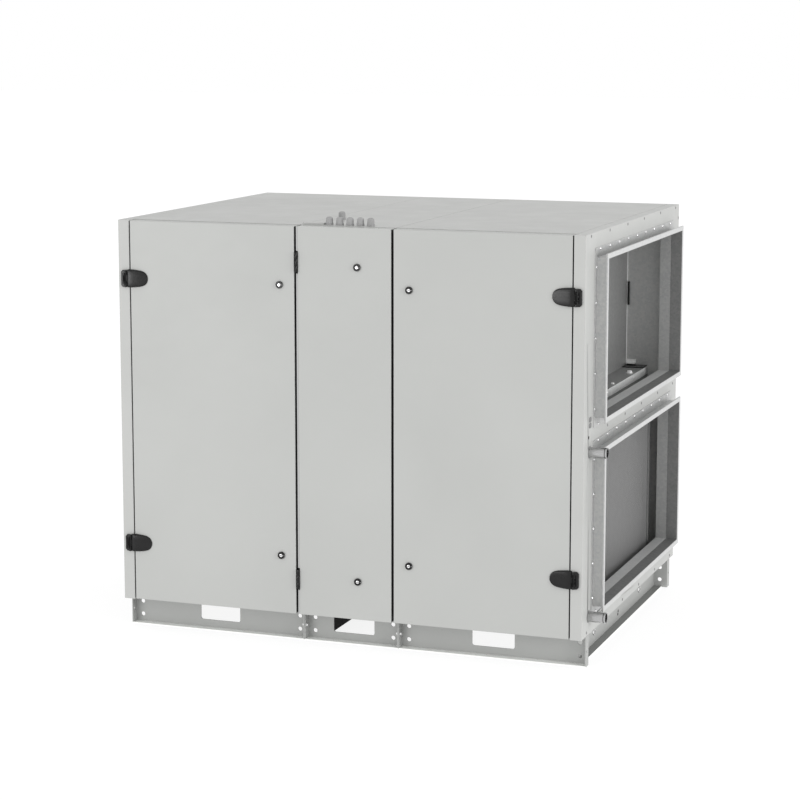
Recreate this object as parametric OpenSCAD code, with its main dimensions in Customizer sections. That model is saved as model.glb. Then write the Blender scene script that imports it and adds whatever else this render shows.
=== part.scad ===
// Air handling unit: a three-section insulated casing on channel base frames,
// with three hinged doors, four duct spigots and a water coil with two pipe stubs.

/* [Casing] */
// outside length of the casing
casing_l = 2000; // [1600:10:2600]
// outside depth of the casing, doors included
casing_d = 1555; // [1200:5:1900]
// height of the casing above the base frame
casing_h = 1605; // [1300:5:1900]
// thickness of the insulated panels
panel_t = 48; // [40:1:60]
// left section, from the left end to the first joint
section_a = 793; // [600:1:1000]
// second joint, from the left end
section_b = 1206.5; // [1050:0.5:1500]
// open seam between two panels
seam = 2; // [1:0.5:4]
// front plane of the panels behind the doors
frame_y = 50; // [46:1:60]

/* [Doors] */
// thickness of a door
door_t = 44; // [38:1:50]
// gap from a door to the end panel beside it
door_side_gap = 5.5; // [5:0.5:8]
// right edge of the left door
door_a_r = 785; // [760:0.5:790]
// left edge of the middle door
door_b_l = 802; // [798:0.5:820]
// right edge of the middle door
door_b_r = 1201.5; // [1150:0.5:1204]
// left edge of the right door
door_c_l = 1212; // [1208:0.5:1230]
// gap over and under a door
door_end_gap = 2; // [1:0.5:5]

/* [Hinges] */
// side hinge pin, from the end of the casing
hinge_x = 34; // [28:1:44]
// side hinge pin, in front of the doors
hinge_y = 8; // [6:0.5:10]
// radius of a side hinge knuckle
knuckle_r = 6.5; // [5:0.5:7]
// height of a side hinge
hinge_h = 71; // [50:1:90]
// height of the middle of the upper side hinges
hinge_top_z = 1362; // [1000:1:1500]
// height of the middle of the lower side hinges
hinge_low_z = 244; // [120:1:500]
// far end of the leaf on the door, from the end of the casing
leaf_far = 130; // [100:1:160]
// radius of a hinge pin
pin_r = 2.5; // [2:0.1:3]
// play of a hinge pin in its knuckle
pin_play = 0.3; // [0.2:0.05:0.5]
// middle hinge pin, from the left end
mid_hinge_x = 796.5; // [794:0.5:799]
// middle hinge pin, in front of the doors
mid_hinge_y = 5; // [4:0.5:7]
// radius of a middle hinge knuckle
mid_knuckle_r = 5.5; // [4:0.5:6]
// height of a middle hinge
mid_hinge_h = 81; // [60:1:100]
// height of the middle of the upper middle hinge
mid_hinge_top_z = 1457; // [1000:1:1520]
// height of the middle of the lower middle hinge
mid_hinge_low_z = 150; // [100:1:400]

/* [Locks] */
// outside radius of a lock ring
lock_r = 15; // [12:0.5:18]
// inside radius of a lock ring
lock_in_r = 9.5; // [7:0.5:12]
// how far a lock stands out
lock_out = 6; // [4:0.5:9]

/* [Base] */
// height of the base frame
base_h = 125; // [100:1:200]
// sheet thickness of the base channels
base_t = 4; // [3:0.5:6]
// depth of a base channel
channel_d = 40; // [30:1:60]
// front edge of the front channel, behind the doors
base_front = 68; // [55:1:90]
// outer edge of a cross channel, inside its section end
cross_inset = 25; // [10:1:40]
// radius of the web holes
web_hole_r = 9; // [6:0.5:12]
// web holes from the end of a section
web_hole_in = 34; // [25:1:50]
// half the distance of a web hole pair
web_hole_half = 28; // [20:1:40]
// length of a lifting slot
slot_l = 180; // [120:5:240]
// height of a lifting slot
slot_h = 80; // [40:1:80]
// lower edge of a lifting slot, above the ground
slot_low = 36.5; // [30:0.5:36.5]
// corner radius of a lifting slot
slot_r = 10; // [5:1:15]
// half the distance of the holes in a cross channel
cross_hole_half = 378; // [250:1:500]

/* [Spigots] */
// how far a duct spigot stands out
spigot_out = 50; // [30:1:100]
// inside width of a duct spigot
duct_w = 1256; // [800:2:1300]
// inside height of a duct spigot
duct_h = 628; // [400:2:660]
// sheet thickness of a spigot
spigot_t = 3; // [2:0.5:5]
// width of the base rim at the sides
rim_side = 24; // [20:1:30]
// width of the base rim at top and bottom
rim_end = 42; // [25:1:46]
// width of the outer flange
flange_w = 20; // [15:1:35]
// thickness of the outer flange
flange_t = 6; // [3:0.5:10]
// middle of the spigots, behind the doors
duct_y = 785; // [700:1:850]
// height of the middle of the upper spigots
duct_top_z = 1187; // [1000:1:1300]
// height of the middle of the lower spigots
duct_low_z = 423; // [380:1:500]

/* [Coil] */
// outside radius of a pipe stub
pipe_r = 21.2; // [10:0.1:30]
// wall of a pipe stub
pipe_wall = 3.2; // [2:0.1:5]
// how far a pipe stub stands out
pipe_out = 73; // [50:1:120]
// upper pipe stub, behind the doors
pipe_top_y = 87; // [80:1:110]
// height of the upper pipe stub
pipe_top_z = 743; // [600:1:748]
// lower pipe stub, behind the doors
pipe_low_y = 100; // [80:1:111]
// height of the lower pipe stub
pipe_low_z = 76; // [70:1:200]
// outlet face of the coil, inside the end of the casing
coil_in = 75; // [60:1:120]
// thickness of the coil
coil_t = 135; // [80:1:200]

/* [Rotor] */
// radius of the heat recovery wheel
wheel_r = 680; // [500:1:690]
// thickness of the heat recovery wheel
wheel_t = 210; // [150:1:230]

/* [Glands] */
// radius of a cable gland
gland_r = 17; // [10:0.5:20]
// height of a cable gland
gland_h = 33; // [15:1:45]
// first gland, from the left end
gland_x = 915; // [850:1:1000]
// pitch of the glands
gland_pitch = 41; // [36:0.5:60]
// glands behind the doors
gland_y = 76; // [70:1:150]

/* [Hidden] */
hinge_out = hinge_y + knuckle_r;
x_mid = (casing_l + pipe_out - spigot_out) / 2;
y_mid = (casing_d - hinge_out) / 2;
deck_z0 = 785;
deck_z1 = 825;
sill_h = 51;
post_half = 38;
steel = [0.78, 0.79, 0.77];
zinc = [0.66, 0.67, 0.67];
black = [0.12, 0.12, 0.12];
dark = [0.45, 0.46, 0.44];
inner_z0 = panel_t;
inner_z1 = casing_h - panel_t;
back_y = casing_d - panel_t;

// a block given by its two far corners
module block(x0, x1, y0, y1, z0, z1) translate([x0, y0, z0]) cube([x1 - x0, y1 - y0, z1 - z0]);

// the casing stands on the base frame, with the middle of the whole outline at the origin
module place() translate([-x_mid, -y_mid, base_h]) children();

// mirror about the middle of the casing length
module flip_x() translate([casing_l, 0, 0]) mirror([1, 0, 0]) children();

// mirror about the middle of the casing depth
module flip_y() translate([0, casing_d, 0]) mirror([0, 1, 0]) children();

// a rounded slot through a web, along the depth
module web_slot(x, y) {
  r = slot_r;
  translate([x, y, -base_h + slot_low + slot_h / 2]) rotate([90, 0, 0]) linear_extrude(height = 40, center = true)
    union() {
      square([slot_l - 2 * r, slot_h], center = true);
      square([slot_l, slot_h - 2 * r], center = true);
      for (sx = [-1, 1]) for (sz = [-1, 1])
        translate([sx * (slot_l / 2 - r), sz * (slot_h / 2 - r)]) circle(r = r, $fn = 32);
    }
}

// one front channel of the base, open to the front, with closed ends
module long_rail(xa, xb) {
  yb = base_front + channel_d;
  difference() {
    block(xa, xb, base_front, yb, -base_h, 0);
    block(xa + base_t, xb - base_t, base_front - 1, yb - base_t, -base_h + base_t, -base_t);
    web_slot((xa + xb) / 2, yb);
    for (x = [xa + web_hole_in, xb - web_hole_in]) for (s = [-1, 1])
      translate([x, yb, -base_h / 2 + s * web_hole_half]) rotate([90, 0, 0])
        cylinder(r = web_hole_r, h = 40, center = true, $fn = 32);
    for (x = [xa, xb])
      translate([x, base_front + 14, -base_h / 2]) rotate([0, 90, 0])
        cylinder(r = 5.5, h = 3 * base_t, center = true, $fn = 24);
  }
}

// one cross channel of the base, open to the right
module cross_rail(xe) {
  xw = xe - channel_d;
  y0 = base_front + channel_d;
  y1 = casing_d - base_front - channel_d;
  difference() {
    block(xw, xe, y0, y1, -base_h, 0);
    block(xw + base_t, xe + 1, y0 - 1, y1 + 1, -base_h + base_t, -base_t);
    for (s = [-1, 1])
      translate([xw, duct_y + s * cross_hole_half, -72]) rotate([0, 90, 0])
        cylinder(r = web_hole_r, h = 40, center = true, $fn = 32);
  }
}

module base_long_rails(xa, xb) color(steel) place() {
  long_rail(xa, xb);
  flip_y() long_rail(xa, xb);
}

// the cross channel at the left end of a section, open to the left
module left_cross_rail(xa) translate([xa + casing_l, 0, 0]) mirror([1, 0, 0]) cross_rail(casing_l - cross_inset);

module base_long_rails_left() base_long_rails(0, section_a - 0.5);
module base_long_rails_middle() base_long_rails(section_a + 0.5, section_b - 0.5);
module base_long_rails_right() base_long_rails(section_b + 0.5, casing_l);
module base_cross_rail_left() color(steel) place() left_cross_rail(0);
module base_cross_rail_middle() color(steel) place() left_cross_rail(section_a + 0.5);
module base_cross_rails_right() color(steel) place() {
  left_cross_rail(section_b + 0.5);
  cross_rail(casing_l - cross_inset);
}

// inside limits of the three sections
ax0 = panel_t;
ax1 = section_a - seam / 2;
bx0 = section_a + seam / 2;
bx1 = section_b - seam / 2;
cx0 = section_b + seam / 2;
cx1 = casing_l - panel_t;

module floor_left() color(steel) place() block(ax0, ax1, frame_y, casing_d, 0, panel_t);
module floor_middle() color(steel) place() block(bx0, bx1, frame_y, casing_d, 0, panel_t);
module floor_right() color(steel) place() block(cx0, cx1, frame_y, casing_d, 0, panel_t);

module roof_left() color(steel) place() block(ax0 + seam, ax1, frame_y, casing_d, inner_z1, casing_h);
module roof_middle() color(steel) place() block(bx0, bx1, frame_y, casing_d, inner_z1, casing_h);
module roof_right() color(steel) place() block(cx0, cx1 - seam, frame_y, casing_d, inner_z1, casing_h);

module back_panel_left() color(steel) place() block(ax0, ax1, back_y, casing_d, inner_z0, inner_z1);
module back_panel_middle() color(steel) place() block(bx0, bx1, back_y, casing_d, inner_z0, inner_z1);
module back_panel_right() color(steel) place() block(cx0, cx1, back_y, casing_d, inner_z0, inner_z1);

// an end panel with its two duct openings
module end_panel() {
  difference() {
    block(0, panel_t, 0, casing_d, 0, casing_h);
    for (z = [duct_top_z, duct_low_z])
      block(-1, panel_t + 1, duct_y - duct_w / 2, duct_y + duct_w / 2, z - duct_h / 2, z + duct_h / 2);
  }
}

module end_panel_left() color(steel) place() end_panel();

module end_panel_right() color(steel) place() difference() {
  flip_x() end_panel();
  for (p = [[pipe_top_y, pipe_top_z], [pipe_low_y, pipe_low_z]])
    translate([casing_l - panel_t / 2, p[0], p[1]]) rotate([0, 90, 0])
      cylinder(r = pipe_r + 1, h = panel_t + 2, center = true, $fn = 48);
}

// posts behind the two joints between the doors
module front_posts() color(zinc) place() {
  for (x = [section_a, section_b])
    block(x - post_half, x + post_half, frame_y, frame_y + panel_t, inner_z0, inner_z1);
}

// decks between the upper and the lower air path
module deck_left() color(zinc) place() union() {
  block(ax0, section_a - post_half, frame_y, back_y, deck_z0, deck_z1);
  block(section_a - post_half - 1, ax1, frame_y + panel_t, back_y, deck_z0, deck_z1);
}

module deck_right() color(zinc) place() union() {
  block(section_b + post_half, cx1, frame_y, back_y, deck_z0, deck_z1);
  block(cx0, section_b + post_half + 1, frame_y + panel_t, back_y, deck_z0, deck_z1);
}

// plates across the air paths, inside the end sections
module bulkhead_upper_left() color(zinc) place() block(245, 255, frame_y + 10, back_y, deck_z1, inner_z1);
module bulkhead_lower_left() color(zinc) place() block(245, 255, frame_y + 10, back_y, inner_z0, deck_z0);
// the upper right one stands on a raised sill
module bulkhead_upper_right() color(zinc) place() union() {
  block(1770, 1780, frame_y + 10, back_y, deck_z1, inner_z1);
  block(1779, 1880, frame_y + 10, back_y, deck_z1, deck_z1 + sill_h);
}

// casing of the heat recovery wheel
wheel_x = (section_a + section_b) / 2;
wheel_z = casing_h / 2;
wheel_y = (frame_y + panel_t + 2 + back_y) / 2;

module rotor_casing() color(zinc) place() union() {
  difference() {
    block(wheel_x - 140, wheel_x + 140, frame_y + panel_t + 2, back_y, inner_z0, inner_z1);
    translate([wheel_x, wheel_y, wheel_z]) rotate([0, 90, 0])
      cylinder(r = wheel_r + 12, h = 282, center = true, $fn = 96);
  }
  for (s = [-1, 1])
    translate([wheel_x + s * 132.5 - 7.5, frame_y + panel_t + 3, wheel_z - 30])
      cube([15, back_y - frame_y - panel_t - 4, 60]);
}

module rotor_wheel() color(dark) place() translate([wheel_x, wheel_y, wheel_z]) rotate([0, 90, 0]) union() {
  cylinder(r = wheel_r, h = wheel_t, center = true, $fn = 96);
  cylinder(r = 60, h = 250, center = true, $fn = 48);
}

// finned water coil behind the lower right opening
module coil() color(dark) place()
  block(casing_l - coil_in - coil_t, casing_l - coil_in, frame_y + 10, 1385, inner_z0, 772);

module pipe_stub(y, z) translate([casing_l - coil_in, y, z]) rotate([0, 90, 0]) difference() {
  union() {
    cylinder(r = pipe_r - 0.7, h = coil_in + 1, $fn = 48);
    translate([0, 0, coil_in]) cylinder(r = pipe_r, h = pipe_out, $fn = 48);
  }
  translate([0, 0, 40]) cylinder(r = pipe_r - pipe_wall, h = coil_in + pipe_out, $fn = 48);
}

module coil_pipes() color(zinc) place() {
  pipe_stub(pipe_top_y, pipe_top_z);
  pipe_stub(pipe_low_y, pipe_low_z);
}

// a duct spigot on the right end, about the middle of its opening
module spigot() difference() {
  union() {
    block(0, spigot_t, -duct_w / 2 - rim_side, duct_w / 2 + rim_side, -duct_h / 2 - rim_end, duct_h / 2 + rim_end);
    block(0, spigot_out, -duct_w / 2 - spigot_t, duct_w / 2 + spigot_t, -duct_h / 2 - spigot_t, duct_h / 2 + spigot_t);
    block(spigot_out - flange_t, spigot_out, -duct_w / 2 - flange_w, duct_w / 2 + flange_w, -duct_h / 2 - flange_w, duct_h / 2 + flange_w);
  }
  block(-1, spigot_out + 1, -duct_w / 2, duct_w / 2, -duct_h / 2, duct_h / 2);
}

module spigot_upper_right() color(zinc) place() translate([casing_l, duct_y, duct_top_z]) spigot();
module spigot_lower_right() color(zinc) place() translate([casing_l, duct_y, duct_low_z]) spigot();
module spigot_upper_left() color(zinc) place() flip_x() translate([casing_l, duct_y, duct_top_z]) spigot();
module spigot_lower_left() color(zinc) place() flip_x() translate([casing_l, duct_y, duct_low_z]) spigot();

module door(x0, x1) block(x0, x1, 0, door_t, door_end_gap, casing_h - door_end_gap);
module left_door() color(steel) place() door(panel_t + door_side_gap, door_a_r);
module middle_door() color(steel) place() door(door_b_l, door_b_r);
module right_door() color(steel) place() door(door_c_l, casing_l - panel_t - door_side_gap);

// heights of one knuckle: the frame holds the ends, the door holds the middle
third = hinge_h / 3;
mid_third = mid_hinge_h / 3;

// the part of a side hinge on the end panel: plate with cut corners, two knuckles and the pin
module frame_hinge() {
  difference() {
    union() {
      block(9, hinge_x, -hinge_y, 0, -hinge_h / 2 + 8, hinge_h / 2 - 8);
      block(18, hinge_x, -hinge_y, 0, -hinge_h / 2, hinge_h / 2);
      translate([hinge_x, -hinge_y, -hinge_h / 2]) cylinder(r = knuckle_r, h = hinge_h, $fn = 40);
    }
    block(hinge_x - knuckle_r - 1, hinge_x + knuckle_r + 1, -hinge_y - knuckle_r - 1, 1, -third / 2 - 0.6, third / 2 + 0.6);
  }
  translate([hinge_x, -hinge_y, -hinge_h / 2]) cylinder(r = pin_r, h = hinge_h, $fn = 32);
}

// the part of a side hinge on the door: rounded leaf over the gap and one knuckle
module door_hinge() {
  lx = panel_t + door_side_gap;
  kx = hinge_x + knuckle_r + 1.5;
  rr = hinge_h / 2 - 8;
  difference() {
    union() {
      translate([hinge_x, -hinge_y, -third / 2]) cylinder(r = knuckle_r, h = third, $fn = 40);
      block(hinge_x, kx + 1, -hinge_y - 2, -1.5, -third / 2, third / 2);
      block(kx, lx + 4, -hinge_y - 2, -1.5, -hinge_h / 2, hinge_h / 2);
      block(lx + 2, leaf_far - rr, -hinge_y - 2, 0, -hinge_h / 2, hinge_h / 2);
      block(leaf_far - rr - 1, leaf_far, -hinge_y - 2, 0, -8, 8);
      for (s = [-1, 1]) translate([leaf_far - rr, 0, s * 8]) rotate([90, 0, 0])
        cylinder(r = rr, h = hinge_y + 2, $fn = 48);
    }
    translate([hinge_x, -hinge_y, -third / 2 - 1]) cylinder(r = pin_r + pin_play, h = third + 2, $fn = 32);
  }
}

module left_frame_hinges() color(black) place()
  for (z = [hinge_top_z, hinge_low_z]) translate([0, 0, z]) frame_hinge();
module right_frame_hinges() color(black) place() flip_x()
  for (z = [hinge_top_z, hinge_low_z]) translate([0, 0, z]) frame_hinge();
module left_door_hinges() color(black) place()
  for (z = [hinge_top_z, hinge_low_z]) translate([0, 0, z]) door_hinge();
module right_door_hinges() color(black) place() flip_x()
  for (z = [hinge_top_z, hinge_low_z]) translate([0, 0, z]) door_hinge();

// the part of a middle hinge on the post: arm through the joint, two knuckles and the pin
module middle_frame_hinge() {
  difference() {
    union() {
      block(mid_hinge_x - 4.5, mid_hinge_x - 0.5, -mid_hinge_y, frame_y, -mid_hinge_h / 2, mid_hinge_h / 2);
      translate([mid_hinge_x, -mid_hinge_y, -mid_hinge_h / 2]) cylinder(r = mid_knuckle_r, h = mid_hinge_h, $fn = 40);
    }
    block(mid_hinge_x - mid_knuckle_r - 1, mid_hinge_x + mid_knuckle_r + 1, -mid_hinge_y - mid_knuckle_r - 1, 4, -mid_third / 2 - 0.6, mid_third / 2 + 0.6);
  }
  translate([mid_hinge_x, -mid_hinge_y, -mid_hinge_h / 2]) cylinder(r = pin_r, h = mid_hinge_h, $fn = 32);
}

// the part of a middle hinge on the door: one knuckle with a foot on the edge of the door
module middle_door_hinge() difference() {
  union() {
    translate([mid_hinge_x, -mid_hinge_y, -mid_third / 2]) cylinder(r = mid_knuckle_r, h = mid_third, $fn = 40);
    block(mid_hinge_x, door_b_l, -mid_hinge_y - 2, 2, -mid_third / 2, mid_third / 2);
    block(door_b_l - 3, door_b_l, -2, 30, -mid_third / 2, mid_third / 2);
  }
  translate([mid_hinge_x, -mid_hinge_y, -mid_third / 2 - 1]) cylinder(r = pin_r + pin_play, h = mid_third + 2, $fn = 32);
}

module middle_frame_hinges() color(black) place()
  for (z = [mid_hinge_top_z, mid_hinge_low_z]) translate([0, 0, z]) middle_frame_hinge();
module middle_door_hinges() color(black) place()
  for (z = [mid_hinge_top_z, mid_hinge_low_z]) translate([0, 0, z]) middle_door_hinge();

// a round quarter-turn lock on the front of a door
module lock(x, z) translate([x, 0, z]) rotate([90, 0, 0]) difference() {
  cylinder(r = lock_r, h = lock_out, $fn = 48);
  translate([0, 0, 2]) cylinder(r = lock_in_r, h = lock_out, $fn = 40);
}

module left_door_locks() color(black) place() { lock(721.5, 1363); lock(721.5, 244); }
module middle_door_locks() color(black) place() { lock(1057.5, 1445); lock(1057.5, 160); }
module right_door_locks() color(black) place() { lock(1278, 1363); lock(1278, 244); }

// low cover plate beside the cable glands
module gland_plate() color(steel) place() block(802, 890, 58, 100, casing_h, casing_h + 8);

module gland() {
  cylinder(r = gland_r, h = gland_h * 0.35, $fn = 48);
  cylinder(r = gland_r - 3, h = gland_h, $fn = 48);
}

module cable_glands() color(steel) place() {
  for (i = [0:4]) translate([gland_x + i * gland_pitch, gland_y, casing_h]) gland();
  translate([872, 300, casing_h]) gland();
}

base_long_rails_left();
base_long_rails_middle();
base_long_rails_right();
base_cross_rail_left();
base_cross_rail_middle();
base_cross_rails_right();
floor_left();
floor_middle();
floor_right();
roof_left();
roof_middle();
roof_right();
back_panel_left();
back_panel_middle();
back_panel_right();
end_panel_left();
end_panel_right();
front_posts();
deck_left();
deck_right();
bulkhead_upper_left();
bulkhead_lower_left();
bulkhead_upper_right();
rotor_casing();
rotor_wheel();
coil();
coil_pipes();
spigot_upper_left();
spigot_lower_left();
spigot_upper_right();
spigot_lower_right();
left_door();
middle_door();
right_door();
left_frame_hinges();
middle_frame_hinges();
right_frame_hinges();
left_door_hinges();
middle_door_hinges();
right_door_hinges();
left_door_locks();
middle_door_locks();
right_door_locks();
gland_plate();
cable_glands();
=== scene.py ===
import math

import bmesh
import bpy
from mathutils import Matrix, Vector


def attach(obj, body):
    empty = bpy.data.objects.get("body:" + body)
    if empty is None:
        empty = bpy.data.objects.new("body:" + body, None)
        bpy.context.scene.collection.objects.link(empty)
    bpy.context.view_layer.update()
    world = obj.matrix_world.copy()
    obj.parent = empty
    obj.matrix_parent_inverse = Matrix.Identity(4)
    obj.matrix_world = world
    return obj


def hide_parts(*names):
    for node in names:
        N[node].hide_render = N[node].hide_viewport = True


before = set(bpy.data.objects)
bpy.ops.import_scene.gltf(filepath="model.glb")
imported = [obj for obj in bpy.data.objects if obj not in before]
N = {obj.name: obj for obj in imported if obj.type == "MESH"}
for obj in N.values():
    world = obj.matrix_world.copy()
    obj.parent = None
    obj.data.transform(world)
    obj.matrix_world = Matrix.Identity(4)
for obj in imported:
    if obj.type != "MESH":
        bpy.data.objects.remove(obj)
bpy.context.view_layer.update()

# ---------------------------------------------------------------- sizes (mm, from the left front lower corner of the casing)
XM, YM, BH = 1011.5, 770.25, 125.0
L, D, H = 2000.0, 1555.0, 1605.0
DUCT_Y, DUCT_W, DUCT_H, TOP_Z, LOW_Z = 785.0, 1256.0, 628.0, 1187.0, 423.0


def W(x, y, z):
    return Vector(((x - XM) / 1000.0, (y - YM) / 1000.0, (z + BH) / 1000.0))


# ---------------------------------------------------------------- materials
def tree(name):
    m = bpy.data.materials.new(name)
    m.use_nodes = True
    nt = m.node_tree
    return m, nt, nt.nodes["Principled BSDF"]


def coords(nt, scale=(1, 1, 1)):
    tc = nt.nodes.new("ShaderNodeTexCoord")
    mp = nt.nodes.new("ShaderNodeMapping")
    mp.inputs["Scale"].default_value = scale
    nt.links.new(tc.outputs["Object"], mp.inputs["Vector"])
    return mp.outputs["Vector"]


def noise(nt, vec, scale, detail=3.0, rough=0.5):
    n = nt.nodes.new("ShaderNodeTexNoise")
    n.inputs["Scale"].default_value = scale
    n.inputs["Detail"].default_value = detail
    n.inputs["Roughness"].default_value = rough
    nt.links.new(vec, n.inputs["Vector"])
    return n.outputs["Fac"]


def ramp(nt, fac, stops):
    r = nt.nodes.new("ShaderNodeValToRGB")
    el = r.color_ramp.elements
    el[0].position, el[0].color = stops[0][0], (*stops[0][1], 1)
    el[1].position, el[1].color = stops[-1][0], (*stops[-1][1], 1)
    for p, c in stops[1:-1]:
        e = el.new(p)
        e.color = (*c, 1)
    nt.links.new(fac, r.inputs["Fac"])
    return r.outputs["Color"]


def span(nt, fac, a, b, lo=0.3, hi=0.7):
    r = nt.nodes.new("ShaderNodeMapRange")
    r.inputs["From Min"].default_value = lo
    r.inputs["From Max"].default_value = hi
    r.inputs["To Min"].default_value = a
    r.inputs["To Max"].default_value = b
    nt.links.new(fac, r.inputs["Value"])
    return r.outputs["Result"]


def bump(nt, bsdf, fac, strength, dist):
    b = nt.nodes.new("ShaderNodeBump")
    b.inputs["Strength"].default_value = strength
    b.inputs["Distance"].default_value = dist
    nt.links.new(fac, b.inputs["Height"])
    nt.links.new(b.outputs["Normal"], bsdf.inputs["Normal"])


def g(v, tint=(1, 1, 1)):
    """linear colour of an sRGB grey level 0..255"""
    c = v / 255.0
    lin = c / 12.92 if c <= 0.04045 else ((c + 0.055) / 1.055) ** 2.4
    return tuple(lin * t for t in tint)


def paint(name, level, tint=(0.99, 1.0, 0.975), spread=2.0):
    m, nt, b = tree(name)
    v = coords(nt)
    big = noise(nt, v, 2.2, 4.0)
    fine = noise(nt, v, 420.0, 2.0)
    nt.links.new(ramp(nt, big, [(0.3, g(level - spread, tint)), (0.7, g(level + spread, tint))]), b.inputs["Base Color"])
    nt.links.new(span(nt, noise(nt, v, 9.0), 0.42, 0.52), b.inputs["Roughness"])
    b.inputs["Specular IOR Level"].default_value = 0.35
    bump(nt, b, fine, 0.05, 0.0004)
    return m


def galv(name, lo, hi, metallic=0.75, rough=(0.34, 0.5), scale=70.0):
    m, nt, b = tree(name)
    v = coords(nt)
    vo = nt.nodes.new("ShaderNodeTexVoronoi")
    vo.inputs["Scale"].default_value = scale
    nt.links.new(v, vo.inputs["Vector"])
    sep = nt.nodes.new("ShaderNodeSeparateColor")
    nt.links.new(vo.outputs["Color"], sep.inputs["Color"])
    nt.links.new(ramp(nt, sep.outputs["Red"], [(0.0, g(lo, (0.985, 1, 1))), (1.0, g(hi, (1, 1, 0.985)))]), b.inputs["Base Color"])
    nt.links.new(span(nt, sep.outputs["Green"], rough[0], rough[1], 0.0, 1.0), b.inputs["Roughness"])
    b.inputs["Metallic"].default_value = metallic
    bump(nt, b, noise(nt, v, 160.0, 2.0), 0.04, 0.0003)
    return m


def plastic(name, lo, hi, rough=(0.36, 0.5), spec=0.5):
    m, nt, b = tree(name)
    v = coords(nt)
    nt.links.new(ramp(nt, noise(nt, v, 40.0), [(0.3, g(lo)), (0.7, g(hi))]), b.inputs["Base Color"])
    nt.links.new(span(nt, noise(nt, v, 150.0), rough[0], rough[1]), b.inputs["Roughness"])
    b.inputs["Specular IOR Level"].default_value = spec
    bump(nt, b, noise(nt, v, 1800.0, 1.0), 0.12, 0.0002)
    return m


def brushed(name, lo, hi, stretch, rough=(0.25, 0.42), metallic=0.95):
    m, nt, b = tree(name)
    v = coords(nt, stretch)
    f = noise(nt, v, 60.0, 3.0)
    nt.links.new(ramp(nt, f, [(0.3, g(lo)), (0.7, g(hi))]), b.inputs["Base Color"])
    nt.links.new(span(nt, f, rough[0], rough[1]), b.inputs["Roughness"])
    b.inputs["Metallic"].default_value = metallic
    bump(nt, b, f, 0.06, 0.0003)
    return m


def striped(name, lo, hi, axis, scale, rough=(0.4, 0.55), metallic=0.6):
    m, nt, b = tree(name)
    v = coords(nt)
    wv = nt.nodes.new("ShaderNodeTexWave")
    wv.bands_direction = axis
    wv.inputs["Scale"].default_value = scale
    nt.links.new(v, wv.inputs["Vector"])
    nt.links.new(ramp(nt, wv.outputs["Fac"], [(0.1, g(lo)), (0.9, g(hi))]), b.inputs["Base Color"])
    nt.links.new(span(nt, noise(nt, v, 30.0), rough[0], rough[1]), b.inputs["Roughness"])
    b.inputs["Metallic"].default_value = metallic
    bump(nt, b, wv.outputs["Fac"], 0.2, 0.0005)
    return m


PAINT = paint("paint_light_grey", 180)
# doors: a slightly darker copy of the casing paint, painted shade
DOOR_SHADED_PAINT = paint("paint_light_grey_door_painted_shade", 177, (0.985, 1.0, 0.972))
PAINT_BASE = paint("paint_base_frame", 164, (0.985, 1.0, 0.975))
# door edge profile: darker copy of the door paint, painted shade
DOOR_EDGE_SHADE_PAINT = paint("door_edge_painted_shade", 172, (0.99, 1.0, 0.985))
# flange top: dark copy of the base paint, painted shade
FLANGE_TOP_SHADE_PAINT = paint("flange_top_painted_shade", 128, (0.98, 1.0, 0.97))
# flange edges: near-white copy of the paint, painted highlight
FLANGE_EDGE_HIGHLIGHT_PAINT = paint("flange_edge_painted_highlight", 246, (0.99, 1.0, 0.98))
GALV_RIM = galv("galvanised_rim", 186, 196, 0.7, (0.42, 0.52), 110.0)
GALV_IN = galv("galvanised_inner", 180, 190, 0.55, (0.45, 0.55), 110.0)
GALV_DARK = galv("galvanised_shaded", 122, 132, 0.55, (0.45, 0.55), 110.0)
# jambs and filter frames: darker copy of the galvanised finish, painted shade
GALV_JAMB_SHADE = galv("galvanised_jamb_painted_shade", 158, 168, 0.5, (0.45, 0.55), 110.0)
# edges, strips and bolts in the upper chamber: near-white galvanised copy, painted highlight
GALV_HIGHLIGHT = galv("galvanised_painted_highlight", 228, 238, 0.4, (0.4, 0.5), 110.0)
GALV_FACE = galv("galvanised_flange", 194, 202, 0.4, (0.4, 0.5), 110.0)
GALV_PLATE = galv("galvanised_plate", 146, 154, 0.55, (0.45, 0.55), 110.0)
SEAM = paint("seam_shadow", 112, (0.99, 1.0, 0.98))
BLACK = plastic("black_plastic", 14, 20, (0.22, 0.28), 0.3)
RUBBER = plastic("rubber_seal", 46, 56, (0.6, 0.75), 0.25)
GREYPLASTIC = plastic("grey_plastic", 150, 160, (0.45, 0.6), 0.35)
PLUG = plastic("plug_plastic", 116, 126, (0.5, 0.65), 0.3)
FILTER = striped("filter_media", 200, 216, "Z", 120.0, (0.75, 0.9), 0.0)
ZINC = brushed("zinc_bright", 225, 240, (1, 1, 8), (0.18, 0.3))
PIPE = brushed("steel_pipe", 168, 188, (1, 12, 12), (0.14, 0.24))
FINS = striped("coil_fin_foil", 158, 167, "Z", 40.0)
WHEEL = striped("wheel_foil", 120, 170, "Z", 60.0)
# near-black fill for slots, grooves and the pipe bore: painted shade
SHADE_FILL = plastic("painted_shade_fill", 10, 16, (0.7, 0.85), 0.1)
# near-black finish for the middle cross rail: painted shade under the unit
CROSS_RAIL_SHADE = plastic("cross_rail_painted_shade", 12, 20, (0.7, 0.85), 0.1)


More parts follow.
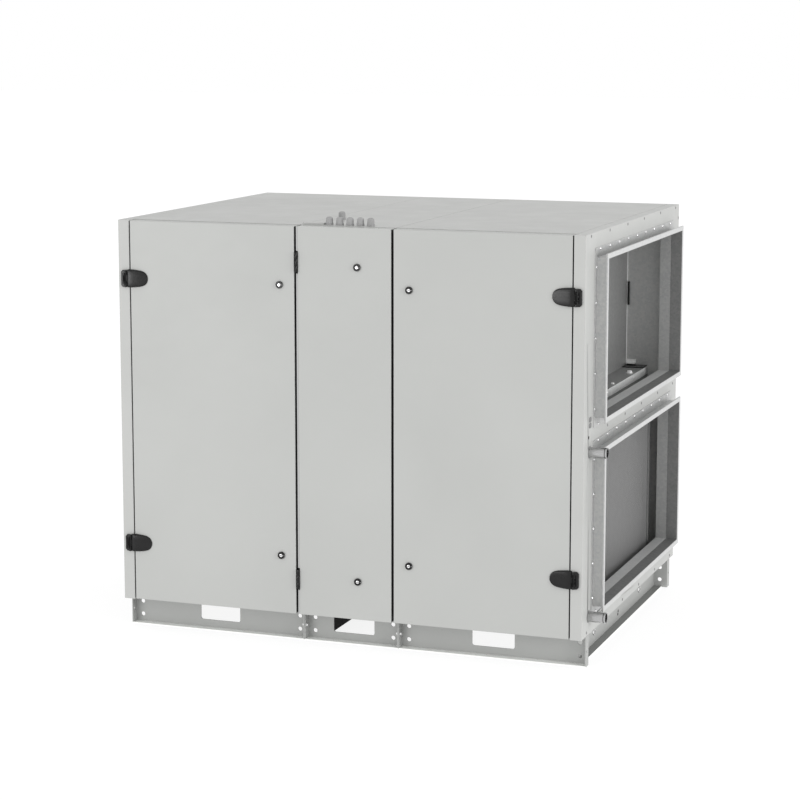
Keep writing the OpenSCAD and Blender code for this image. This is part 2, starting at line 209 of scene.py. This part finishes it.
# ---------------------------------------------------------------- mesh helpers
def finish_mesh(name, bm, material, body, smooth=False, bevel=0.0, seg=2):
    me = bpy.data.meshes.new(name)
    bmesh.ops.recalc_face_normals(bm, faces=bm.faces)
    bm.to_mesh(me)
    bm.free()
    ob = bpy.data.objects.new(name, me)
    bpy.context.scene.collection.objects.link(ob)
    me.materials.append(material)
    if smooth:
        for p in me.polygons:
            p.use_smooth = True
    if bevel:
        b = ob.modifiers.new("edge", "BEVEL")
        b.width = bevel
        b.segments = seg
        b.limit_method = "ANGLE"
        b.angle_limit = math.radians(35)
    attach(ob, body)
    return ob


def put_box(bm, x0, x1, y0, y1, z0, z1):
    vs = [bm.verts.new(W(x, y, z)) for z in (z0, z1) for y in (y0, y1) for x in (x0, x1)]
    for f in ((0, 2, 3, 1), (4, 5, 7, 6), (0, 1, 5, 4), (2, 6, 7, 3), (0, 4, 6, 2), (1, 3, 7, 5)):
        bm.faces.new([vs[i] for i in f])


def boxes(name, lst, material, body, bevel=0.0004, seg=2):
    bm = bmesh.new()
    for b in lst:
        put_box(bm, *b)
    return finish_mesh(name, bm, material, body, bevel=bevel, seg=seg)


def lathe(bm, profile, origin, axis, seg=20, shape=None):
    """profile: [(distance along axis, radius)] in mm, from origin (mm) along axis (unit vector)"""
    ax = Vector(axis).normalized()
    q = Vector((0, 0, 1)).rotation_difference(ax).to_matrix()
    o = W(*origin)
    rings = []
    for d, r in profile:
        ring = []
        for i in range(seg):
            a = 2 * math.pi * i / seg
            k = shape(a, d) if shape else 1.0
            ring.append(bm.verts.new(o + q @ Vector((r * k * math.cos(a), r * k * math.sin(a), d)) / 1000.0))
        rings.append(ring)
    for a, b in zip(rings, rings[1:]):
        for i in range(seg):
            bm.faces.new((a[i], a[(i + 1) % seg], b[(i + 1) % seg], b[i]))
    bm.faces.new(rings[0][::-1])
    bm.faces.new(rings[-1])


def ring(bm, profile, origin, axis, seg=36):
    """closed profile [(distance along axis, radius)] turned about the axis: a ring with an open bore"""
    q = Vector((0, 0, 1)).rotation_difference(Vector(axis).normalized()).to_matrix()
    o = W(*origin)
    rows = []
    for d, r in profile:
        rows.append([bm.verts.new(o + q @ Vector((r * math.cos(2 * math.pi * i / seg), r * math.sin(2 * math.pi * i / seg), d)) / 1000.0) for i in range(seg)])
    for a, b in zip(rows, rows[1:] + rows[:1]):
        for i in range(seg):
            bm.faces.new((a[i], a[(i + 1) % seg], b[(i + 1) % seg], b[i]))


def hexshape(a, d):
    s = math.pi / 3
    t = (a % s) - s / 2
    return math.cos(s / 2) / math.cos(t)


def screw(bm, p, axis, r=6.0, h=4.0):
    """flanged head screw"""
    lathe(bm, [(0, r), (h * 0.18, r), (h * 0.42, r * 0.82), (h * 0.8, r * 0.62), (h, r * 0.34)], p, axis, 14)


def hexbolt(bm, p, axis, r=8.0, h=6.0):
    lathe(bm, [(0, r * 1.3), (h * 0.22, r * 1.3)], p, axis, 20)
    o = [p[i] + axis[i] * h * 0.22 for i in range(3)]
    lathe(bm, [(0, r), (h * 0.62, r), (h * 0.78, r * 0.86)], o, axis, 24, hexshape)


def cad(name, material, bevel=0.0, seg=2):
    ob = N[name]
    if not ob.material_slots:
        ob.data.materials.append(material)
    for s in ob.material_slots:
        s.material = material
    if bevel:
        w = ob.modifiers.new("weld", "WELD")
        w.merge_threshold = 0.00002
        b = ob.modifiers.new("edge", "BEVEL")
        b.width = bevel
        b.segments = seg
        b.limit_method = "ANGLE"
        b.angle_limit = math.radians(35)
    return ob


# ---------------------------------------------------------------- CAD nodes: materials and rounded edges
for n in N:
    if n == "base_cross_rail_middle":
        # painted shade: near-black finish on the middle cross rail under the unit
        cad(n, CROSS_RAIL_SHADE)
    elif n.startswith("base_"):
        cad(n, PAINT_BASE)
    elif n.startswith(("floor", "roof", "back_panel", "end_panel")):
        cad(n, PAINT, 0.0018, 3)
    elif n in ("left_door", "middle_door", "right_door"):
        # doors take the slightly darker paint copy: painted shade
        cad(n, DOOR_SHADED_PAINT, 0.0025, 4)
    elif n.startswith("spigot"):
        cad(n, GALV_RIM, 0.0006)
    elif n.startswith("bulkhead"):
        cad(n, GALV_PLATE, 0.001)
    elif n in ("front_posts", "rotor_casing") or n.startswith("deck"):
        cad(n, GALV_IN, 0.001)
    elif n == "rotor_wheel":
        cad(n, WHEEL)
    elif n == "coil":
        cad(n, FINS)
    elif n == "coil_pipes":
        cad(n, PIPE)
    elif n == "gland_plate":
        cad(n, PAINT, 0.001)
    elif n == "cable_glands":
        cad(n, GREYPLASTIC)
    else:
        cad(n, BLACK, 0.0008)

# ---------------------------------------------------------------- door seals
seal = [
    (48.3, 72, 44.6, 50, 4, H - 18), (1928, 1951.7, 44.6, 50, 4, H - 18),
    (757, 791.4, 44.6, 50, 4, H - 18), (796.6, 829, 44.6, 50, 4, H - 18),
    (1170, 1243, 44.6, 50, 4, H - 18),
    (72, 757, 44.6, 50, 4, 22), (829, 1170, 44.6, 50, 4, 22), (1243, 1928, 44.6, 50, 4, 22),
]
boxes("door_seals", seal, RUBBER, "casing", 0.0008)
boxes("end_edge_seal", [(48.02, 48.5, 5, 44, 5, H - 5)], RUBBER, "casing", 0.0)
boxes("left_door_edge_seal", [(785.02, 785.5, 3, 41, 5, H - 5)], RUBBER, "left_door_leaf", 0.0)
boxes("middle_door_edge_seal", [(1201.52, 1202.0, 3, 41, 5, H - 5)], RUBBER, "middle_door_leaf", 0.0)
boxes("right_door_edge_seal", [(1946.52, 1947.0, 3, 41, 5, H - 5)], RUBBER, "right_door_leaf", 0.0)
boxes("roof_seam_strips", [(792.0, 794.0, 50, D - 4, H - 8, H - 0.4), (1205.5, 1207.5, 50, D - 4, H - 8, H - 0.4), (48.3, 49.8, 50, D - 4, H - 8, H - 1.6), (L - 49.8, L - 48.3, 50, D - 4, H - 8, H - 1.6)], SEAM, "casing", 0.0)
boxes("door_seal_behind_hinges", [(791.4, 796.6, 46, 50, 4, 105), (791.4, 796.6, 46, 50, 195, 1412), (791.4, 796.6, 46, 50, 1502, H - 18)], RUBBER, "casing", 0.0)
boxes("roof_nose_strip", [(50.2, 791.8, 44.7, 50, H - 17.5, H - 0.3), (794.2, 1205.3, 44.7, 50, H - 17.5, H - 0.3), (1207.7, 1949.8, 44.7, 50, H - 17.5, H - 0.3)], PAINT, "casing", 0.0006)

# edge profile on the hinge side of the middle door, in a slightly darker copy of the door paint: painted shade on its
# left-facing face
bm = bmesh.new()
for z0, z1 in ((2.5, 104), (196, 1411), (1503, H - 2.5)):
    pts = [(802.0, 0.5), (793.6, 2.6), (793.6, 4.6), (802.0, 8.0)]
    lo = [bm.verts.new(W(x, y, z0)) for x, y in pts]
    hi = [bm.verts.new(W(x, y, z1)) for x, y in pts]
    for i in range(4):
        j = (i + 1) % 4
        bm.faces.new((lo[i], lo[j], hi[j], hi[i]))
    bm.faces.new(lo[::-1])
    bm.faces.new(hi)
finish_mesh("middle_door_edge", bm, DOOR_EDGE_SHADE_PAINT, "middle_door_leaf", bevel=0.0004)

# ---------------------------------------------------------------- locks
for body, x, zs in (("left_door_leaf", 721.5, (1363, 244)), ("middle_door_leaf", 1057.5, (1445, 160)), ("right_door_leaf", 1278, (1363, 244))):
    bm = bmesh.new()
    for z in zs:
        lathe(bm, [(0, 6.6), (5.0, 6.6), (5.7, 6.0), (5.9, 5.0)], (x, -1.8, z), (0, -1, 0), 32)
    finish_mesh(body + "_lock_cores", bm, ZINC, body, bevel=0.0003)
    bm = bmesh.new()
    for z in zs:
        ring(bm, [(0, 9.35), (4.9, 9.35), (5.3, 9.0), (5.3, 7.1), (4.4, 6.75), (0, 6.75)], (x, -1.8, z), (0, -1, 0), 36)
    finish_mesh(body + "_lock_collars", bm, BLACK, body)
    # painted shade: near-black boxes for the key slots
    boxes(body + "_lock_slots", [(x - 4.4, x + 4.4, -7.9, -7.5, z - 0.9, z + 0.9) for z in zs], SHADE_FILL, body, 0.0)
    boxes(body + "_lock_ticks", [(x + 10, x + 15.6, -6.35, -5.8, z - 1.4, z + 1.4) for z in zs], PLUG, body, 0.0001)


# ---------------------------------------------------------------- side hinges: rounded leaf that rises over the gap
def leaf_mesh(name, mirror, body, node):
    bm = bmesh.new()
    for zc in (1363.2, 245.2):
        rows = []
        xs = [41.8, 43.2, 46, 49, 52, 55, 58, 64, 72, 82, 92, 102, 110, 116, 121, 125.5, 129, 131.4, 132.6]
        for x in xs:
            if x < 60:
                h = 37.4
            else:
                t = (x - 60) / 73.0
                h = 37.4 * (1 - 0.17 * t) * max(0.0, 1 - t ** 5.0) ** 0.5
            if x < 44:
                h -= (44 - x) * 0.6
            rise = 13.2 - 10.4 * max(0.0, (x - 56) / 77.0) ** 1.25 - 0.013 * max(0.0, 56 - x) ** 2
            if x < 46:
                rise -= (46 - x) * 0.3
            base = -1.5 if x < 54 else -0.02
            cs = [(-1.0, base), (-1.0, -rise * 0.55), (-0.94, -rise * 0.86), (-0.82, -rise), (-0.4, -rise - 0.12), (0.0, -rise - 0.16),
                  (0.4, -rise - 0.12), (0.82, -rise), (0.94, -rise * 0.86), (1.0, -rise * 0.55), (1.0, base)]
            X = L - x if mirror else x
            rows.append([bm.verts.new(W(X, y, zc + u * max(h, 2.0))) for u, y in cs])
        for a, b in zip(rows, rows[1:]):
            for i in range(len(a) - 1):
                bm.faces.new((a[i], a[i + 1], b[i + 1], b[i]))
            bm.faces.new((a[-1], a[0], b[0], b[-1]))
        bm.faces.new(rows[0][::-1])
        bm.faces.new(rows[-1])
        # knuckle on the pin
        X = L - 34 if mirror else 34
        lathe(bm, [(0, 6.4), (23.4, 6.4)], (X, -8, zc - 11.7), (0, 0, 1), 28)
        x0, x1 = (L - 44, L - 36) if mirror else (36, 44)
        put_box(bm, x0, x1, -9.6, -1.6, zc - 11.7, zc + 11.7)
    ob = finish_mesh(name, bm, BLACK, body, smooth=True)
    e = ob.modifiers.new("edge", "BEVEL")
    e.width, e.segments, e.limit_method, e.angle_limit = 0.0007, 2, "ANGLE", math.radians(40)
    w = ob.modifiers.new("normals", "WEIGHTED_NORMAL")
    w.keep_sharp = False
    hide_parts(node)
    return ob


leaf_mesh("left_hinge_leaves", False, "left_door_leaf", "left_door_hinges")
leaf_mesh("right_hinge_leaves", True, "right_door_leaf", "right_door_hinges")


def frame_mesh(name, mirror, node):
    bm = bmesh.new()

    def fx(x):
        return L - x if mirror else x
    for zc in (1362, 244):
        out = [(12.5, -27.0), (12.5, 27.0), (20.5, 35.4), (33.6, 35.4), (33.6, 12.2), (26.2, 12.2), (26.2, -12.2), (33.6, -12.2), (33.6, -35.4), (20.5, -35.4)]
        lo = [bm.verts.new(W(fx(x), -0.4, zc + z)) for x, z in out]
        mid = [bm.verts.new(W(fx(x), -6.6, zc + z)) for x, z in out]
        top = [bm.verts.new(W(fx(min(max(x, 14.6), 33.6)), -9.2, zc + z * (0.955 if abs(z) > 20 else 1.0))) for x, z in out]
        for a, b in ((lo, mid), (mid, top)):
            for i in range(len(out)):
                j = (i + 1) % len(out)
                bm.faces.new((a[i], a[j], b[j], b[i]))
        bm.faces.new(lo[::-1])
        bm.faces.new(top)
        for z0 in (-35.4, 12.3):
            lathe(bm, [(0, 5.4), (1.0, 6.4), (22.1, 6.4), (23.1, 5.4)], (fx(34), -8, zc + z0), (0, 0, 1), 28)
            x0, x1 = sorted((fx(34.2), fx(40.9)))
            put_box(bm, x0, x1, -9.6, -1.0, zc + z0 + 0.3, zc + z0 + 22.8)
    ob = finish_mesh(name, bm, BLACK, "casing", bevel=0.0009, seg=3)
    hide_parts(node)
    x0, x1 = sorted((fx(21.4), fx(25.2)))
    # painted shade: near-black boxes for the slots between the frame plates
    boxes(name + "_slots", [(x0, x1, -9.55, -9.1, z - 22.5, z + 22.5) for z in (1362, 244)], SHADE_FILL, "casing", 0.0)


for side, xk, body in (("left", 34.0, "left_door_leaf"), ("right", L - 34.0, "right_door_leaf")):
    # painted shade: near-black strips for the grooves in front of the knuckles
    boxes(side + "_hinge_grooves", [(xk - 2.9, xk + 2.9, -14.6, -13.0, z + a, z + b) for z in (1362, 244) for a, b in ((-25, -12.4), (12.4, 25))], SHADE_FILL, "casing", 0.0)
    boxes(side + "_hinge_groove_middles", [(xk - 2.9, xk + 2.9, -14.6, -13.0, z - 11.6, z + 11.6) for z in (1362, 244)], SHADE_FILL, body, 0.0)
frame_mesh("left_hinge_frame_plates", False, "left_frame_hinges")
frame_mesh("right_hinge_frame_plates", True, "right_frame_hinges")

# ---------------------------------------------------------------- spigot screws, panel screws
ys9 = [DUCT_Y + (i - 4) * 146.3 for i in range(9)]
for side, xs, ax in (("right", L + 3, 1), ("left", -3, -1)):
    bm = bmesh.new()
    for zc in (TOP_Z, LOW_Z):
        for y in ys9:
            for s in (1, -1):
                screw(bm, (xs, y, zc + s * 348), (ax, 0, 0), 6.2, 4.2)
        for i in range(5):
            for s in (1, -1):
                screw(bm, (xs, DUCT_Y + s * (DUCT_W / 2 + 14), zc + (i - 2) * 140.7), (ax, 0, 0), 6.2, 4.2)
    finish_mesh("spigot_screws_" + side, bm, ZINC, "casing", smooth=False)
    bm = bmesh.new()
    xp = L if side == "right" else 0.0
    for y in (75, 356, 640, 916, 1205, 1487):
        for z in (H - 11, 806, 15):
            if z != 806 or y > 200:
                screw(bm, (xp, y, z), (ax, 0, 0), 6.4, 1.6)
    for i in range(6):
        screw(bm, (xp, D - 9, 60 + i * 297), (ax, 0, 0), 6.4, 1.6)
    finish_mesh("panel_screws_" + side, bm, PLUG, "casing")

bm = bmesh.new()
for x in (62, 779, 807, 1192, 1221, L - 62):
    for i in range(6):
        screw(bm, (x, D, 62 + i * 296.2), (0, 1, 0), 6.4, 1.6)
for x in (241, 420, 600, 935, 1064, 1400, 1580, 1759):
    for z in (62, H - 62):
        screw(bm, (x, D, z), (0, 1, 0), 6.4, 1.6)
finish_mesh("panel_screws_back", bm, PLUG, "casing")

# ---------------------------------------------------------------- base joining bolts
bm = bmesh.new()
for x in (793.0, 1206.5):
    for y in (82.0, D - 82.0):
        hexbolt(bm, (x - 4.5, y, -62.5), (-1, 0, 0), 8, 7)
        hexbolt(bm, (x + 4.5, y, -62.5), (1, 0, 0), 8, 7)
finish_mesh("base_joining_bolts", bm, ZINC, "casing", bevel=0.0003)

# ---------------------------------------------------------------- pipe stubs: seal at the panel, end with a near-black band standing in for the groove (painted shade), lip, and a near-black disc in the bore (painted shade)
bm = bmesh.new()
for y, z in ((87, 743), (100, 76)):
    lathe(bm, [(0.1, 25.0), (0.9, 24.6), (1.4, 22.6), (1.4, 21.3)], (L, y, z), (1, 0, 0), 40)
finish_mesh("pipe_seals", bm, PLUG, "casing", smooth=False)
bm = bmesh.new()
for y, z in ((87, 743), (100, 76)):
    ring(bm, [(0, 21.1), (0.2, 21.4), (2.6, 21.4), (2.8, 21.1)], (L + 63.6, y, z), (1, 0, 0), 40)
finish_mesh("pipe_grooves", bm, SHADE_FILL, "casing", smooth=False)
bm = bmesh.new()
for y, z in ((87, 743), (100, 76)):
    ring(bm, [(0, 21.1), (0.4, 21.9), (4.2, 21.9), (4.6, 21.3), (4.6, 18.6), (4.0, 18.4)], (L + 68.4, y, z), (1, 0, 0), 40)
finish_mesh("pipe_lips", bm, PIPE, "casing", smooth=False)
bm = bmesh.new()
for y, z in ((87, 743), (100, 76)):
    lathe(bm, [(0, 17.9), (0.6, 17.9)], (L + 20, y, z), (1, 0, 0), 32)
finish_mesh("pipe_inside", bm, SHADE_FILL, "casing")

# ---------------------------------------------------------------- right end: two oval plugs and a small plug
bm = bmesh.new()


def oval(a, d):
    return 1.0 / (abs(math.cos(a) / 0.62) ** 3 + abs(math.sin(a) / 1.0) ** 3) ** (1 / 3.0)


for z in (872, 848.5):
    lathe(bm, [(0, 17), (1.4, 17), (2.0, 15.6), (2.0, 11.0), (1.2, 10.0)], (L, 90, z), (1, 0, 0), 32, oval)
finish_mesh("panel_plugs", bm, PLUG, "casing")
bm = bmesh.new()
lathe(bm, [(0, 6.5), (0.8, 6.5), (1.2, 4.5)], (L, 71, 803), (1, 0, 0), 20)
for y, z in ((802, -94.5), (808, -82)):
    lathe(bm, [(0, 6.5), (0.8, 6.0), (1.6, 3.5)], (1939.1, y, z), (1, 0, 0), 16)
finish_mesh("small_dark_plugs", bm, BLACK, "casing")

# ---------------------------------------------------------------- cable glands
bm = bmesh.new()


def knurl(a, d):
    return hexshape(a, d) if d < 9.5 else 1.0 + (0.018 * math.cos(18 * a) if 13 < d < 28 else 0.0)


for x, y in [(910 + i * 44.5, 76) for i in range(5)] + [(868, 322)]:
    lathe(bm, [(0, 17), (8.2, 17), (9.0, 16.2), (9.6, 14.6), (12.5, 14.2), (13.5, 14.4), (27, 13.6), (29, 12.6), (31.4, 10.4), (32.8, 7.4), (32.4, 6.2), (26, 5.8)],
          (x, y, H), (0, 0, 1), 36, knurl)
gl = finish_mesh("cable_gland_set", bm, GREYPLASTIC, "casing")
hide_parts("cable_glands")

# ---------------------------------------------------------------- linings inside
lin = []
for z0, z1 in ((48.6, 784.4), (825.6, H - 48.6)):
    lin += [(49, 791, D - 49.2, D - 48.1, z0, z1), (1208, 1951, D - 49.2, D - 48.1, z0, z1)]
lin += [(49, 791, 100, D - 50, 48.1, 49.2), (1246, 1788, 100, D - 50, 48.1, 49.2)]
lin += [(49, 791, 100, D - 50, H - 49.2, H - 48.1), (1208, 1951, 100, D - 50, H - 49.2, H - 48.1)]
boxes("inner_lining", lin, GALV_IN, "casing", 0.0)
jamb = []
low = []
for x0, x1 in ((0.2, 47.8), (L - 47.8, L - 0.2)):
    for zc in (TOP_Z, LOW_Z):
        y0, y1 = DUCT_Y - DUCT_W / 2, DUCT_Y + DUCT_W / 2
        z0, z1 = zc - DUCT_H / 2, zc + DUCT_H / 2
        jamb += [(x0, x1, y0 + 0.05, y0 + 1.2, z0, z1), (x0, x1, y1 - 1.2, y1 - 0.05, z0, z1), (x0, x1, y0, y1, z1 - 1.2, z1 - 0.05)]
        low.append((x0, x1, y0, y1, z0 + 0.05, z0 + 1.2))
# the bottom lining takes the lighter flange finish (painted light on the up-facing sill); the sides and top take the
# darker jamb copy (painted shade)
boxes("opening_sills", low, GALV_FACE, "casing", 0.0)
boxes("opening_linings", jamb, GALV_JAMB_SHADE, "casing", 0.0)
neck = []
for x0, x1 in ((-49.5, -0.1), (L + 0.1, L + 49.5)):
    for zc in (TOP_Z, LOW_Z):
        y0, y1 = DUCT_Y - DUCT_W / 2, DUCT_Y + DUCT_W / 2
        z0, z1 = zc - DUCT_H / 2, zc + DUCT_H / 2
        neck += [(x0, x1, y0 + 0.05, y0 + 0.8, z0, z1), (x0, x1, y1 - 0.8, y1 - 0.05, z0, z1), (x0, x1, y0, y1, z0 + 0.05, z0 + 0.8), (x0, x1, y0, y1, z1 - 0.8, z1 - 0.05)]
boxes("spigot_inner_faces", neck, GALV_DARK, "casing", 0.0)
faces = []
for x0, x1 in ((-50.45, -49.9), (L + 49.9, L + 50.45)):
    for zc in (TOP_Z, LOW_Z):
        ya, yb = DUCT_Y - DUCT_W / 2, DUCT_Y + DUCT_W / 2
        za, zb = zc - DUCT_H / 2, zc + DUCT_H / 2
        faces += [(x0, x1, ya - 19.5, ya - 0.6, za - 19.5, zb + 19.5), (x0, x1, yb + 0.6, yb + 19.5, za - 19.5, zb + 19.5),
                  (x0, x1, ya - 0.6, yb + 0.6, zb + 0.6, zb + 19.5), (x0, x1, ya - 0.6, yb + 0.6, za - 19.5, za - 0.6)]
boxes("flange_faces", faces, GALV_FACE, "casing", 0.0)
# top of the lower flange of the outer cross channel in a dark copy of the base paint (painted shade), and its outer
# edge in near-white paint (painted highlight)
boxes("cross_flange_top", [(1939.2, 1974.6, 108.5, D - 108.5, -121, -120.4), (25.4, 60.8, 108.5, D - 108.5, -121, -120.4)], FLANGE_TOP_SHADE_PAINT, "casing", 0.0)
boxes("cross_flange_edge", [(1974.7, 1975.4, 108.5, D - 108.5, -125, -120.4), (24.6, 25.3, 108.5, D - 108.5, -125, -120.4)], FLANGE_EDGE_HIGHLIGHT_PAINT, "casing", 0.0)
# painted highlight: near-white strips on the tops and front edges of the long rails' lower flanges
edge = []
for xa, xb in ((4.2, 788.3), (797.7, 1201.8), (1211.2, L - 4.2)):
    edge += [(xa, xb, 68.0, 103.8, -121, -120.5), (xa, xb, D - 103.8, D - 68.0, -121, -120.5)]
for xa, xb in ((0.2, 792.3), (793.7, 1205.8), (1207.2, L - 0.2)):
    edge += [(xa, xb, 67.5, 68.0, -125, -120.6), (xa, xb, D - 68.0, D - 67.5, -125, -120.6)]
boxes("rail_flange_edges", edge, FLANGE_EDGE_HIGHLIGHT_PAINT, "casing", 0.0)
bm = bmesh.new()
for y in (DUCT_Y - 378, DUCT_Y + 378):
    ring(bm, [(0, 14.0), (2.0, 14.0), (5.5, 12.2), (6.0, 11.4), (6.0, 9.4), (0, 9.2)], (1939.0, y, -72), (1, 0, 0), 32)
    ring(bm, [(0, 14.0), (2.0, 14.0), (5.5, 12.2), (6.0, 11.4), (6.0, 9.4), (0, 9.2)], (61.0, y, -72), (-1, 0, 0), 32)
finish_mesh("bolt_hole_bushes", bm, ZINC, "casing")
# sill in the upper right chamber: front strip, bolts, latch bar and bracket at the back; the strip, bracket, bulkhead
# edge and bolts use a near-white galvanised copy: painted highlight
boxes("sill_front_strip", [(1880.0, 1883.0, 62, D - 49.6, 842, 875.8)], GALV_HIGHLIGHT, "casing", 0.0008)
boxes("sill_back_shoe", [(1783, 1878, D - 132, D - 50, 876.1, 880)], BLACK, "casing", 0.0012)
boxes("back_wall_bracket", [(1783, 1826, D - 54, D - 49.4, 886, 904), (1783, 1826, D - 78, D - 54, 886, 889)], GALV_HIGHLIGHT, "casing", 0.0008)
boxes("back_wall_latch", [(1785, 1793, D - 60, D - 49.4, 1150, 1256)], BLACK, "casing", 0.001)
boxes("bulkhead_edge", [(1780.1, 1783, D - 56, D - 49.4, 876.2, H - 50)], GALV_HIGHLIGHT, "casing", 0.0005)
bm = bmesh.new()
hexbolt(bm, (1855, D - 283, 876.1), (0, 0, 1), 12, 11)
for y in (D - 605, D - 1050):
    hexbolt(bm, (1864, y, 876.1), (0, 0, 1), 7, 6)
for y in (D - 330, D - 760):
    screw(bm, (1883.0, y, 864), (1, 0, 0), 5, 3)
finish_mesh("sill_bolts", bm, GALV_HIGHLIGHT, "casing", bevel=0.0003)
for body, x0, x1 in (("left_door_leaf", 53.5, 785), ("middle_door_leaf", 802, 1201.5), ("right_door_leaf", 1212, 1946.5)):
    boxes(body + "_inner_skin", [(x0 + 24, x1 - 24, 44.02, 44.5, 26, H - 26)], GALV_IN, body, 0.0)

# ---------------------------------------------------------------- filters on the left cross plates: frames and pleats
cells = [(96.0 + i * 462.0, 96.0 + i * 462.0 + 452.0) for i in range(3)]
fr = []
bm = bmesh.new()
for z0, z1 in ((60.0, 774.0), (836.0, 1546.0)):
    for ya, yb in cells:
        fr += [(232, 244.8, ya, ya + 20, z0, z1), (232, 244.8, yb - 20, yb, z0, z1), (232, 244.8, ya + 20, yb - 20, z0, z0 + 20), (232, 244.8, ya + 20, yb - 20, z1 - 20, z1)]
        pts = []
        n = 24
        for i in range(2 * n + 1):
            pts.append((ya + 20 + (yb - ya - 40) * i / (2 * n), 242.0 if i % 2 == 0 else 234.0))
        lo = [bm.verts.new(W(x, y, z0 + 19)) for y, x in pts]
        hi = [bm.verts.new(W(x, y, z1 - 19)) for y, x in pts]
        for i in range(2 * n):
            bm.faces.new((lo[i], lo[i + 1], hi[i + 1], hi[i]))
# filter frames in the darker jamb copy of the galvanised finish: painted shade
boxes("filter_frames", fr, GALV_JAMB_SHADE, "casing", 0.001)
finish_mesh("filter_pleats", bm, FILTER, "casing")

# ---------------------------------------------------------------- coil: frame, fins and a solid core block
bm = bmesh.new()
x0, x1, y0, y1, z0, z1 = 1790.0, 1925.0, 60.0, 1385.0, 48.0, 772.0
for b in ((x0, x1, y0, y1, z0, z0 + 22), (x0, x1, y0, y1, z1 - 22, z1), (x0, x1, y0, y0 + 60, z0 + 22, z1 - 22), (x0, x1, y1 - 22, y1, z0 + 22, z1 - 22)):
    put_box(bm, *b)
cf = finish_mesh("coil_frame", bm, GALV_DARK, "casing", bevel=0.0008)
bm = bmesh.new()
y = y0 + 61.0
while y < y1 - 23:
    put_box(bm, x0 + 5, x1 - 4, y, y + 1.4, z0 + 22, z1 - 22)
    y += 3.6
put_box(bm, x0 + 12, x1 - 20, y0 + 60.5, y1 - 22.5, z0 + 22, z1 - 22)
ff = finish_mesh("coil_fins", bm, FINS, "casing")
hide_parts("coil")

# ---------------------------------------------------------------- stage, light, camera
wd = bpy.data.worlds.new("studio")
bpy.context.scene.world = wd
wd.use_nodes = True
bg = wd.node_tree.nodes["Background"]
bg.inputs["Strength"].default_value = 1.0
wnt = wd.node_tree
wtc = wnt.nodes.new("ShaderNodeTexCoord")
wsep = wnt.nodes.new("ShaderNodeSeparateXYZ")
wnt.links.new(wtc.outputs["Generated"], wsep.inputs["Vector"])
wnt.links.new(ramp(wnt, wsep.outputs["Z"], [(0.25, (1.0, 1.0, 1.0)), (0.9, (0.94, 0.94, 0.94))]), bg.inputs["Color"])

me = bpy.data.meshes.new("floor")
s = 60.0
me.from_pydata([(-s, -s, -0.0006), (s, -s, -0.0006), (s, s, -0.0006), (-s, s, -0.0006)], [], [(0, 1, 2, 3)])
fl = bpy.data.objects.new("floor", me)
bpy.context.scene.collection.objects.link(fl)
fm, fnt, fb = tree("pale_floor")
nz = noise(fnt, coords(fnt), 0.6, 2.0)
fnt.links.new(ramp(fnt, nz, [(0.3, (0.17, 0.17, 0.17)), (0.7, (0.19, 0.19, 0.19))]), fb.inputs["Base Color"])
fb.inputs["Roughness"].default_value = 0.9
fb.inputs["Specular IOR Level"].default_value = 0.1
fb.inputs["Emission Color"].default_value = (1.0, 1.0, 1.0, 1.0)
fb.inputs["Emission Strength"].default_value = 0.85
me.materials.append(fm)


def area(name, loc, target, wide, high, power):
    ld = bpy.data.lights.new(name, "AREA")
    ld.shape = "RECTANGLE"
    ld.size = wide
    ld.size_y = high
    ld.energy = power
    ob = bpy.data.objects.new(name, ld)
    ob.location = loc
    ob.rotation_mode = "QUATERNION"
    ob.rotation_quaternion = (Vector(target) - Vector(loc)).to_track_quat("-Z", "Y")
    bpy.context.scene.collection.objects.link(ob)


area("key", (-5.0, -7.2, 0.8), (0, 0, 0.9), 4.6, 1.5, 140)
area("side", (8.0, -3.0, 2.4), (0.8, 0, 0.9), 2.4, 2.4, 220)

cam = bpy.data.cameras.new("camera")
co = bpy.data.objects.new("camera", cam)
bpy.context.scene.collection.objects.link(co)
cam.sensor_width = 36.0
cam.lens = 103.531
cam.shift_y = -0.05
az, el = math.radians(19.991), math.radians(8.547)
back = Vector((math.sin(az) * math.cos(el), -math.cos(az) * math.cos(el), math.sin(el)))
co.location = (3.32484, -9.28266, 2.56846)
co.rotation_mode = "QUATERNION"
co.rotation_quaternion = (-back).to_track_quat("-Z", "Y")
cam.clip_start, cam.clip_end = 0.1, 300.0
bpy.context.scene.camera = co
bpy.context.scene.view_settings.view_transform = "Standard"
